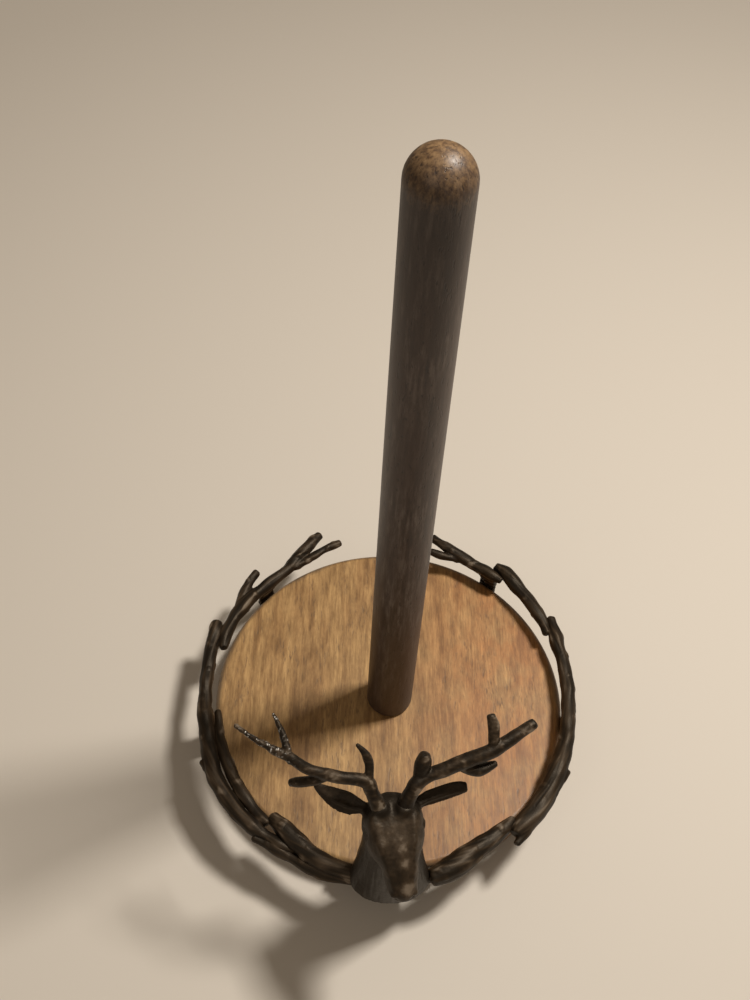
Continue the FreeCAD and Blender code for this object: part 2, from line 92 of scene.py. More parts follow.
studio = {
    "floorSize": 6.0,
    "floorColour": (0.70, 0.64, 0.56),
    "floorRoughness": 0.75,
    "floorFade": (0.7, 2.0),  # metres from the middle, over which the floor turns into the room
    "worldColour": (1.0, 0.80, 0.58),
    "worldStrength": 0.17,
    "roomColour": (0.56, 0.47, 0.37),
    "lamps": [  # place, aim, size in metres, watts, colour
        ((0.42, 0.16, 1.02), (0.0, -0.02, 0.03), 0.16, 9.9, (1.0, 0.945, 0.87)),
        ((-0.5, -0.9, 1.1), (0.0, 0.0, 0.1), 0.9, 1.6, (1.0, 0.96, 0.92)),
    ],
}


def makeFloorBoard():
    material, tree, shader = newMaterial("floorBoard")
    shader.inputs["Base Color"].default_value = (*studio["floorColour"], 1)
    shader.inputs["Roughness"].default_value = studio["floorRoughness"]
    far = node(tree, "ShaderNodeVectorMath", {"Vector": objectSpace(tree)}, operation="LENGTH")
    seen = node(tree, "ShaderNodeLightPath").outputs["Is Camera Ray"]
    faded = mask(tree, far.outputs["Value"], *studio["floorFade"])
    share = arithmetic(tree, "MULTIPLY", faded, seen)
    glow = node(tree, "ShaderNodeEmission")
    glow.inputs["Color"].default_value = (*studio["roomColour"], 1)
    mixed = tree.nodes.new("ShaderNodeMixShader")
    tree.links.new(share, mixed.inputs[0])
    tree.links.new(shader.outputs[0], mixed.inputs[1])
    tree.links.new(glow.outputs[0], mixed.inputs[2])
    tree.links.new(mixed.outputs[0], tree.nodes["Material Output"].inputs["Surface"])
    return material


def makeStudio():
    bm = bmesh.new()
    bmesh.ops.create_grid(bm, x_segments=1, y_segments=1, size=studio["floorSize"] / 2)
    floor = meshObject("floor", bm)
    floor.data.materials.append(makeFloorBoard())
    world = bpy.data.worlds.new("softRoom")
    world.use_nodes = True
    tree = world.node_tree
    background = tree.nodes["Background"]
    seen = node(tree, "ShaderNodeLightPath").outputs["Is Camera Ray"]
    tree.links.new(blend(tree, seen, studio["worldColour"], studio["roomColour"]),
                   background.inputs["Color"])
    strength = node(tree, "ShaderNodeMapRange", {"Value": seen})
    strength.inputs["To Min"].default_value = studio["worldStrength"]
    tree.links.new(strength.outputs["Result"], background.inputs["Strength"])
    scene.world = world
    for number, (place, aim, size, watts, colour) in enumerate(studio["lamps"]):
        data = bpy.data.lights.new(f"lamp{number}", "AREA")
        data.size = size
        data.energy = watts
        data.color = colour
        lamp = bpy.data.objects.new(f"lamp{number}", data)
        lamp.location = place
        lamp.rotation_euler = (Vector(aim) - Vector(place)).to_track_quat("-Z", "Y").to_euler()
        scene.collection.objects.link(lamp)


# small helpers for meshes and for material nodes


def meshObject(name, bm):
    data = bpy.data.meshes.new(name)
    bm.to_mesh(data)
    bm.free()
    piece = bpy.data.objects.new(name, data)
    scene.collection.objects.link(piece)
    return piece


def newMaterial(name):
    material = bpy.data.materials.new(name)
    material.use_nodes = True
    tree = material.node_tree
    return material, tree, tree.nodes["Principled BSDF"]


def node(tree, kind, links=None, **values):
    made = tree.nodes.new(kind)
    for key, value in values.items():
        if key in made.inputs.keys():
            made.inputs[key].default_value = value
        else:
            setattr(made, key, value)
    for key, source in (links or {}).items():
        tree.links.new(source, made.inputs[key])
    return made


def objectSpace(tree, scale=(1, 1, 1), turn=0.0):
    place = node(tree, "ShaderNodeTexCoord")
    mapping = node(tree, "ShaderNodeMapping", {"Vector": place.outputs["Object"]})
    mapping.inputs["Scale"].default_value = scale
    mapping.inputs["Rotation"].default_value = (0, 0, math.radians(turn))
    return mapping.outputs["Vector"]


def cloud(tree, where, scale=1.0, detail=3.0, rough=0.55):
    made = node(tree, "ShaderNodeTexNoise", {"Vector": where}, Scale=scale, Detail=detail,
                Roughness=rough)
    return made.outputs["Fac"]


def ramp(tree, source, stops):
    made = node(tree, "ShaderNodeValToRGB", {"Fac": source})
    marks = made.color_ramp.elements
    while len(marks) < len(stops):
        marks.new(0.5)
    for mark, (at, colour) in zip(marks, stops):
        mark.position = at
        mark.color = (*colour, 1)
    return made.outputs["Color"]


def mask(tree, source, low, high):
    made = node(tree, "ShaderNodeMapRange", {"Value": source})
    made.inputs["From Min"].default_value = low
    made.inputs["From Max"].default_value = high
    return made.outputs["Result"]


def blend(tree, factor, first, second, mode="MIX"):
    made = tree.nodes.new("ShaderNodeMix")
    made.data_type = "RGBA"
    made.blend_type = mode
    sockets = (made.inputs["Factor"], made.inputs[6], made.inputs[7])
    for socket, value in zip(sockets, (factor, first, second)):
        if isinstance(value, (int, float)):
            socket.default_value = value
        elif isinstance(value, tuple):
            socket.default_value = (*value, 1)
        else:
            tree.links.new(value, socket)
    return made.outputs[2]


def arithmetic(tree, operation, first, second=0.0):
    made = node(tree, "ShaderNodeMath", operation=operation)
    for socket, value in zip(made.inputs, (first, second)):
        if isinstance(value, (int, float)):
            socket.default_value = value
        else:
            tree.links.new(value, socket)
    return made.outputs[0]


def bump(tree, shader, height, distance, strength=1.0):
    made = node(tree, "ShaderNodeBump", {"Height": height}, Distance=distance, Strength=strength)
    tree.links.new(made.outputs["Normal"], shader.inputs["Normal"])


# wood

discWood = {
    "grainTurn": 5.5,  # degrees
    # how fine each pattern is along X, Y and Z, per metre
    "fibreRate": (1100, 90, 500),
    "bandRate": (95, 7, 60),
    "mottleRate": (60, 42, 60),
    "smudgeRate": (240, 60, 200),
    "fleckRate": (1100, 190, 500),
    "groupRate": (70, 30, 50),
    "warmFrom": (0.015, 0.075),  # metres to the right, over which the wood turns orange
    "rimFrom": (0.0872, 0.0895),  # metres out, over which the dark wash of the rim sets in
    "fibreShade": ((0.55, 0.48, 0.40), (1.2, 1.16, 1.1)),
    "smudgeShade": ((0.62, 0.56, 0.48), (1.12, 1.1, 1.06)),
    "bump": 0.00007,  # metres
    "pale": (0.50, 0.318, 0.138),
    "tan": (0.36, 0.210, 0.084),
    "deep": (0.22, 0.120, 0.046),
    "orange": (0.46, 0.205, 0.066),
    "pore": (0.10, 0.06, 0.032),
    "wash": (0.12, 0.088, 0.062),
}


def makeDiscWood():
    values = discWood
    material, tree, shader = newMaterial("mangoWood")
    turn = values["grainTurn"]
    fibres = cloud(tree, objectSpace(tree, values["fibreRate"], turn), detail=4, rough=0.6)
    bands = cloud(tree, objectSpace(tree, values["bandRate"], turn), detail=4, rough=0.6)
    mottle = cloud(tree, objectSpace(tree, values["mottleRate"], turn), detail=5, rough=0.65)
    colour = ramp(tree, bands, [(0.30, values["deep"]), (0.43, values["tan"]), (0.56, values["pale"]),
                                (0.70, values["tan"])])
    across = node(tree, "ShaderNodeSeparateXYZ", {"Vector": objectSpace(tree, turn=turn)})
    warm = arithmetic(tree, "ADD", across.outputs["X"], arithmetic(tree, "MULTIPLY", bands, 0.05))
    warmth = arithmetic(tree, "MULTIPLY", mask(tree, warm, *values["warmFrom"]), 0.75)
    colour = blend(tree, warmth, colour, values["orange"])
    colour = blend(tree, mask(tree, mottle, 0.42, 0.75), colour, values["pale"])
    dark, light = values["fibreShade"]
    colour = blend(tree, 0.75, colour, ramp(tree, fibres, [(0.28, dark), (0.72, light)]), "MULTIPLY")
    smudges = cloud(tree, objectSpace(tree, values["smudgeRate"], turn), detail=5, rough=0.7)
    dark, light = values["smudgeShade"]
    colour = blend(tree, 0.8, colour, ramp(tree, smudges, [(0.36, dark), (0.6, light)]), "MULTIPLY")
    flecks = cloud(tree, objectSpace(tree, values["fleckRate"], turn), detail=2, rough=0.5)
    groups = cloud(tree, objectSpace(tree, values["groupRate"], turn), detail=2)
    pores = arithmetic(tree, "MULTIPLY", mask(tree, flecks, 0.57, 0.70), mask(tree, groups, 0.35, 0.62))
    colour = blend(tree, arithmetic(tree, "MULTIPLY", pores, 0.6), colour, values["pore"])
    flat = node(tree, "ShaderNodeSeparateXYZ", {"Vector": objectSpace(tree)})
    reach = arithmetic(tree, "SQRT", arithmetic(tree, "ADD",
                       arithmetic(tree, "POWER", flat.outputs["X"], 2),
                       arithmetic(tree, "POWER", flat.outputs["Y"], 2)))
    ragged = arithmetic(tree, "ADD", reach, arithmetic(tree, "MULTIPLY", mottle, 0.006))
    rim = mask(tree, ragged, *values["rimFrom"])
    colour = blend(tree, arithmetic(tree, "MULTIPLY", rim, 0.72), colour, values["wash"])
    tree.links.new(colour, shader.inputs["Base Color"])
    tree.links.new(mask(tree, fibres, -1.2, 2.4), shader.inputs["Roughness"])
    height = arithmetic(tree, "SUBTRACT", arithmetic(tree, "MULTIPLY", fibres, 0.5), pores)
    bump(tree, shader, height, values["bump"], 0.5)
    return material


postWood = {
    # how fine each pattern is along X, Y and Z, per metre
    "streakRate": (520, 520, 60),
    "cloudRate": (60, 60, 22),
    "spotRate": (1000, 1000, 240),
    "gritRate": (520, 520, 300),
    "redFoot": (0.11, 0.04),  # metres up, over which the wash turns red towards the foot
    "bump": 0.00012,  # metres
    "wash": (0.068, 0.045, 0.034),
    "washPale": (0.150, 0.116, 0.096),
    "washDark": (0.024, 0.014, 0.010),
    "red": (0.048, 0.026, 0.017),
    "worn": (0.17, 0.095, 0.042),
    "wornPale": (0.30, 0.19, 0.095),
    "pore": (0.020, 0.012, 0.009),
}


def makePostWood():
    values = postWood
    material, tree, shader = newMaterial("washedWood")
    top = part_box("post")[1][2]
    streaks = cloud(tree, objectSpace(tree, values["streakRate"]), detail=5, rough=0.7)
    clouds = cloud(tree, objectSpace(tree, values["cloudRate"]), detail=4, rough=0.6)
    spots = cloud(tree, objectSpace(tree, values["spotRate"]), detail=2)
    colour = ramp(tree, streaks, [(0.34, values["washDark"]), (0.50, values["wash"]),
                                  (0.64, values["washPale"])])
    colour = blend(tree, arithmetic(tree, "MULTIPLY", mask(tree, clouds, 0.42, 0.62), 0.7), colour,
                   values["red"])
    up = node(tree, "ShaderNodeSeparateXYZ", {"Vector": objectSpace(tree)}).outputs["Z"]
    wavy = arithmetic(tree, "ADD", up, arithmetic(tree, "MULTIPLY", clouds, 0.03))
    redness = arithmetic(tree, "MULTIPLY", mask(tree, wavy, *values["redFoot"]), 0.65)
    colour = blend(tree, redness, colour, values["red"])
    shade = arithmetic(tree, "MULTIPLY", mask(tree, wavy, top - 0.065, top - 0.015), 0.55)
    colour = blend(tree, shade, colour, values["washDark"])
    grit = cloud(tree, objectSpace(tree, values["gritRate"]), detail=5, rough=0.7)
    bare = blend(tree, mask(tree, grit, 0.40, 0.75), values["worn"], values["wornPale"])
    bare = blend(tree, arithmetic(tree, "MULTIPLY", mask(tree, grit, 0.52, 0.38), 0.6), bare,
                 values["red"])
    wavyTop = arithmetic(tree, "ADD", up, arithmetic(tree, "MULTIPLY", grit, 0.016))
    colour = blend(tree, mask(tree, wavyTop, top - 0.006, top + 0.009), colour, bare)
    pores = mask(tree, spots, 0.60, 0.70)
    colour = blend(tree, arithmetic(tree, "MULTIPLY", pores, 0.7), colour, values["pore"])
    tree.links.new(colour, shader.inputs["Base Color"])
    tree.links.new(mask(tree, streaks, -0.9, 2.2), shader.inputs["Roughness"])
    height = arithmetic(tree, "SUBTRACT", arithmetic(tree, "MULTIPLY", streaks, 0.6), pores)
    bump(tree, shader, height, values["bump"], 0.5)
    return material


# castings: swept along knots, joined by a voxel remesh, then worked over point by point

casting = {
    "ringStep": 0.9,  # mm between the rings of a sweep
    "sides": 24,
    "loftStep": 1.0,
    "loftSides": 40,
    "voxel": 0.36,
    "branchRadius": 4.0,  # at a thickness factor of 1
    "thinnest": 0.4,
    "blunt": 0.55,  # reach of a rounded end, in radii of the branch
    "tip": ((0.5, 0.94), (0.85, 0.76), (1.0, 0.45)),  # shares of that reach and of the radius
    "knobLevel": 0.32,
    "fineShift": (40, 0, 0),  # keeps the fine grooves off the coarse ones
    "rub_and_painted_highlight": {"start": 0.36, "groove": 0.6, "fine": 0.4, "lump": 0.3, "knob": 1.2},
}


def through(knots, step):
    points = [Vector(knot) for knot in knots]
    points = [points[0]] + points + [points[-1]]
    path = []
    for before, start, end, after in zip(points, points[1:], points[2:], points[3:]):
        count = max(2, round((end - start).to_3d().length / step))
        for t in (number / count for number in range(count)):
            path.append(0.5 * (2 * start + t * (end - before)
                               + t ** 2 * (2 * before - 5 * start + 4 * end - after)
                               + t ** 3 * (3 * start - before - 3 * end + after)))
    return path + [points[-1]]


def ringFrames(places, sizes, across=None):
    frames = []
    last = len(places) - 1
    for index, (place, (wide, deep)) in enumerate(zip(places, sizes)):
        way = (places[min(index + 1, last)] - places[max(index - 1, 0)]).normalized()
        across = across or way.orthogonal()
        across = (across - way * across.dot(way)).normalized()
        turn = Matrix((across, way.cross(across), way)).transposed().to_4x4()
        frames.append(Matrix.Translation(place * mm) @ turn
                      @ Matrix.Diagonal((wide * mm, deep * mm, mm, 1)))
    return frames


def sweep(bm, frames, sides):
    ring = bmesh.ops.create_circle(bm, cap_ends=True, radius=1, segments=sides)["verts"]
    edges = list({edge for vert in ring for edge in vert.link_edges})
    bmesh.ops.transform(bm, matrix=frames[0], verts=ring)
    rings = [ring]
    for before, frame in zip(frames, frames[1:]):
        grown = bmesh.ops.extrude_edge_only(bm, edges=edges)["geom"]
        ring = [item for item in grown if isinstance(item, bmesh.types.BMVert)]
        fresh = set(ring)
        edges = [item for item in grown if isinstance(item, bmesh.types.BMEdge)
                 and fresh.issuperset(item.verts)]
        bmesh.ops.transform(bm, matrix=frame @ before.inverted(), verts=ring)
        rings.append(ring)
    bmesh.ops.edgeloop_fill(bm, edges=edges)
    return rings


def limb(bm, knots):
    path = through(knots, casting["ringStep"])
    stations = [(point.to_3d(), max(point[3] * casting["branchRadius"], casting["thinnest"]))
                for point in path]
    ends = []
    for (tip, radius), (inner, _) in ((stations[0], stations[1]), (stations[-1], stations[-2])):
        way = (tip - inner).normalized() * casting["blunt"] * radius
        ends.append([(tip + way * reach, radius * wide) for reach, wide in casting["tip"]])
    stations = ends[0][::-1] + stations + ends[1]
    own = bmesh.new()
    frames = ringFrames([place for place, _ in stations], [(wide, wide) for _, wide in stations])
    sweep(own, frames, casting["sides"])
    addTo(bm, own)


def addTo(bm, own):
    bmesh.ops.recalc_face_normals(own, faces=own.faces)
    carrier = bpy.data.meshes.new("carrier")
    own.to_mesh(carrier)
    own.free()
    bm.from_mesh(carrier)
    bpy.data.meshes.remove(carrier)


def joined(bm, voxel):
    rough = meshObject("rough", bm)
    remesh = rough.modifiers.new("join", "REMESH")
    remesh.mode = "VOXEL"
    remesh.voxel_size = voxel * mm
    whole = bpy.data.meshes.new_from_object(
        rough.evaluated_get(bpy.context.evaluated_depsgraph_get()))
    bpy.data.meshes.remove(rough.data)
    made = bmesh.new()
    made.from_mesh(whole)
    bpy.data.meshes.remove(whole)
    return made


def relax(bm, times, factor=0.5):
    for _ in range(times):
        bmesh.ops.smooth_vert(bm, verts=bm.verts, factor=factor, use_axis_x=True,
                              use_axis_y=True, use_axis_z=True)


def finishCasting(name, bm, relief, material, replaced):
    relax(bm, 2)
    bm.normal_update()
    # rub holds rubbed wear and, on the head, painted highlight; bare holds chipped bare metal
    layers = [bm.verts.layers.float.new(label) for label in ("rub_and_painted_highlight", "bare")]
    moves = []
    for vert in bm.verts:
        height, *marks = relief(vert.co / mm)
        moves.append(vert.normal * height * mm)
        for layer, mark in zip(layers, marks):
            vert[layer] = mark
    for vert, move in zip(bm.verts, moves):
        vert.co += move
    for face in bm.faces:
        face.smooth = True
    piece = meshObject(name, bm)
    piece.data.materials.append(material)
    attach(piece, "root")
    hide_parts(*replaced)
    print(name, len(piece.data.polygons))


def clamp(value):
    return min(max(value, 0.0), 1.0)


def streaks(along, across, up, values):
    groove = noise.noise(Vector((along * values["alongRate"], across, up)) * values["grooveRate"])
    fine = noise.noise(Vector((along * values["alongRate"], across, up)) * values["fineRate"]
                       + Vector(casting["fineShift"]))
    lump = noise.noise(Vector((along, across, up)) * values["lumpRate"])
    knob = max(0.0, noise.noise(Vector((along, across, up)) * values["knobRate"])
               - casting["knobLevel"])
    height = (groove * values["grooveDepth"] + fine * values["fineDepth"]
              + lump * values["lumpDepth"] + knob * values["knobHeight"])
    rub_and_painted_highlight = casting["rub_and_painted_highlight"]
    return height, clamp(rub_and_painted_highlight["start"] + rub_and_painted_highlight["groove"] * groove + rub_and_painted_highlight["fine"] * fine
                         + rub_and_painted_highlight["lump"] * lump + rub_and_painted_highlight["knob"] * knob)


# the wreath: angle round the base, distance out of its circle, height over it, thickness

wreath = {
    "radius": 91.0,
    "height": 33.0,
    "fullness": 1.09,  # the lengths are a little fuller than their solids
    "relief": {"alongRate": 0.1, "grooveRate": 0.5, "grooveDepth": 0.26, "fineRate": 1.1,
               "fineDepth": 0.07, "lumpRate": 0.12, "lumpDepth": 0.8, "knobRate": 0.22,
               "knobHeight": 0.9},
    "lengths": {
        "wreath_side_left": [
            [(159, 4.2, 0, 0.68), (163, 2.7, 0, 0.8), (168.5, 1.5, 0, 0.8), (177, 0.8, 0, 0.76),
             (186, 0.7, 0, 0.78), (192.5, 1.4, 0, 0.88), (199, 2.1, 0, 0.92),
             (205.5, 3.8, 0, 0.88), (211.5, 5.6, 0, 0.98), (217.5, 6, 0, 0.92),
             (223, 6.2, 0, 0.9), (228, 6, 0, 0.82), (232.5, 5.1, -1, 0.68),
             (238, 4.2, -1.5, 0.6), (242, 3.8, -2, 0.5)],
            [(205.2, 7.6, 0, 0.4), (209, 6.6, 0, 0.55), (214.5, 5.8, 0, 0.7)]],
        "wreath_side_left_inner": [
            [(190.5, -5.2, 0, 0.4), (200.5, -3.6, 0, 0.58), (208.5, -2.5, 0, 0.68),
             (215.5, -1.5, 0, 0.72), (222, -0.6, 0, 0.7), (228, 0.2, 0, 0.6),
             (231, 0.6, 0, 0.5)]],
        "wreath_rear_left": [
            [(113.2, 6, 2, 0.6), (118.2, 1.8, 2, 0.68), (122.7, -0.6, 1, 0.8),
             (128.2, -3.6, 0, 0.7), (134.3, -4.1, 0, 0.73), (140.3, -3.7, 0, 0.75),
             (146, -2.8, 0, 0.8), (151.5, -2.6, 0, 0.83), (156.5, -2.2, 0, 0.78),
             (162, -2.6, 0, 0.72), (166.2, -4, 0, 0.58)],
            [(107.8, -1.9, 2, 0.45), (113, -3.3, 2, 0.47), (119, -4.6, 1, 0.48),
             (126, -4.2, 0, 0.55)],
            [(137.4, 5.2, 1, 0.46), (141.3, 3.6, 1, 0.6), (146, 1.2, 0, 0.66),
             (151, -1.6, 0, 0.6)]],
        "wreath_side_right": [
            [(25.5, 2.6, 0, 0.62), (21.9, 0.9, 0, 0.74), (16.4, -0.9, 0, 0.79),
             (10, -1.5, 0, 0.78), (3.4, -1.7, 0, 0.78), (-3.8, -2, 0, 0.82),
             (-10.8, -2, 0, 0.84), (-17.8, -1.3, 0, 0.9), (-23.8, -0.8, 0, 1),
             (-30, 0, 0, 1.1), (-36, 0.8, 0, 1.15), (-42, 1.6, 0, 1.18),
             (-47, 1.8, 0, 1.15), (-51.8, 3.2, 0, 0.92)],
            [(-27.4, 4.4, 0, 0.34), (-30.5, 3.2, 0, 0.5), (-35.5, 1.4, 0, 0.6)],
            [(-54, 7, 0, 0.45), (-51, 5.4, 0, 0.6), (-46.5, 3, 0, 0.7)]],
        "wreath_rear_right": [
            [(51.2, 1.2, 1, 0.6), (47.8, 1.3, 0.5, 0.88), (43.8, 0.5, 0, 0.92),
             (38.8, -0.8, 0, 0.86), (33.7, -1.4, 0, 0.76), (29.4, -1.8, 0, 0.73),
             (24.8, -2.5, 0, 0.67), (22, -3.5, 0, 0.54)]],
        "wreath_rear_right_fork": [
            [(75, 1.6, 2, 0.52), (70.3, -1.4, 2, 0.6), (65.7, -3.3, 1, 0.75),
             (59, -4.3, 0, 0.7), (54.2, -4, 0, 0.74), (50.3, -4.1, 0, 0.74),
             (47.3, -3.7, 0, 0.52)],
            [(74.3, -7.7, 2, 0.44), (69.2, -7.4, 1, 0.47), (63.5, -4.9, 0, 0.5)]],
        "wreath_front_left_upper": [
            [(232, -2.8, 0, 0.7), (237.5, -1.7, 0, 1.06), (243, 0.4, 0, 1.07),
             (248.2, 2.5, 0, 0.95), (253.5, 3.7, 0, 0.9), (258.5, 4.2, 0, 0.84),
             (263, 4.8, -1, 0.8)]],
        "wreath_front_left_lower": [
            [(231.2, 8.6, -2, 0.46), (235, 7.5, -2, 0.54), (240, 6.5, -3, 0.62),
             (245.5, 6.4, -3, 0.7), (251.5, 6.6, -3, 0.77), (257.5, 6, -3, 0.77),
             (263, 6.2, -3.5, 0.7)]],
        "wreath_front_right": [
            [(309.4, -2.2, 0, 0.46), (306, -1.8, 0, 0.73), (301, -1.3, 0, 0.96),
             (295, 0.1, 0, 1.14), (289.5, 2.4, 0, 1.25), (284.5, 4.7, 0, 1.22),
             (281.4, 6.2, 0, 0.95)]],
    },
}


def onWreath(angle, out, up, factor):
    reach = wreath["radius"] + out
    turn = math.radians(angle)
    return (reach * math.cos(turn), reach * math.sin(turn), wreath["height"] + up,
            factor * wreath["fullness"])


def wreathRelief(point):
    along = math.atan2(point.y, abs(point.x)) * wreath["radius"]  # no seam at either side
    height, rub_and_painted_highlight = streaks(along, math.hypot(point.x, point.y), point.z, wreath["relief"])
    return height, rub_and_painted_highlight, 0.0


def makeWreath(material):
    for name, stems in wreath["lengths"].items():
        bm = bmesh.new()
        for knots in stems:
            limb(bm, [onWreath(*knot) for knot in knots])
        finishCasting(name + "_cast", joined(bm, casting["voxel"]), wreathRelief, material, [name])


# the stag's antlers: places from the poll, the top of the head between them, and thickness

poll = Vector((0, -91, 106))

antlers = {
    "left": [
        [(-6.4, -3.2, -4, 1.0), (-8.4, -1.8, 0, 0.86), (-11.2, 2.3, 5.1, 0.7),
         (-14, 5.4, 9.5, 0.7), (-22.2, 5.9, 11.3, 0.64), (-30.8, 7.2, 12.1, 0.62),
         (-37.7, 9, 13, 0.58), (-44.7, 13.7, 13, 0.55), (-51.7, 16.2, 14.7, 0.4),
         (-58.7, 19.5, 16.5, 0.3), (-66.7, 24.3, 18.2, 0.16)],
        [(-13.4, 4, 8, 0.4), (-12.9, 9.8, 13.4, 0.5), (-14.5, 13, 18.2, 0.42),
         (-18, 15.2, 21.8, 0.18)],
        [(-44.2, 11.8, 12.4, 0.36), (-46.2, 18, 14.8, 0.42), (-48.2, 23, 17.2, 0.34),
         (-51.7, 29, 20, 0.14)],
        [(-28, 7, 11.5, 0.4), (-33.4, 6.4, 8, 0.5), (-39, 6.8, 5, 0.55), (-44.2, 7.5, 2.5, 0.42)]],
    "right": [
        [(0.8, -3.2, -4, 1.0), (1.5, -1.6, 0, 0.88), (3.9, 2.6, 5.1, 0.8),
         (5.9, 5.2, 8.6, 0.78), (10.6, 8.1, 9.5, 0.75), (18.4, 10.7, 11.3, 0.75),
         (27, 13.8, 13, 0.78), (35.7, 16.8, 14.7, 0.78), (44.5, 21.8, 16.5, 0.68),
         (53, 27.3, 18.2, 0.54)],
        [(6.3, 6.5, 8.6, 0.5), (8.2, 10.7, 13.9, 0.84), (8.9, 13, 17.4, 0.6)],
        [(36.3, 16.8, 14.6, 0.5), (36.6, 22.9, 20.9, 0.56), (35.2, 27.3, 24.4, 0.46)],
        [(23, 12, 11, 0.4), (27.5, 11.8, 8.2, 0.6), (33, 12.6, 7, 0.72), (38.1, 14.4, 7.8, 0.35)]],
    "relief": {"alongRate": 0.6, "grooveRate": 0.22, "grooveDepth": 0.3, "fineRate": 0.9,
               "fineDepth": 0.07, "lumpRate": 0.16, "lumpDepth": 0.3, "knobRate": 0.3,
               "knobHeight": 0.4},
    "mendStart": 40.0,  # mm left of the poll, where the mended tip begins
}


def antlerRelief(point):
    place = point - poll
    height, rub_and_painted_highlight = streaks(place.x, place.y, place.z, antlers["relief"])
    worn = clamp((-place.x - antlers["mendStart"]) / 12)
    crumbs = 0.6 * noise.noise(point * 0.7) + 0.7 * noise.noise(point * 1.8)
    return height + worn * 0.4 * crumbs, rub_and_painted_highlight, worn * clamp(4.5 * crumbs - 1.5)


def makeAntlers(material):
    for side in ("left", "right"):
        bm = bmesh.new()
        for knots in antlers[side]:
            limb(bm, [(*(poll + Vector(knot[:3])), knot[3]) for knot in knots])
        finishCasting(f"{side}_antler_cast", joined(bm, casting["voxel"]), antlerRelief, material,
                      [f"{side}_antler"])


# the stag's head: stations and pedicles are X, Y and Z from the poll, with half sizes or a
# thickness; pushes, eye, lids and spots are side, forward and up, in the head's own turn

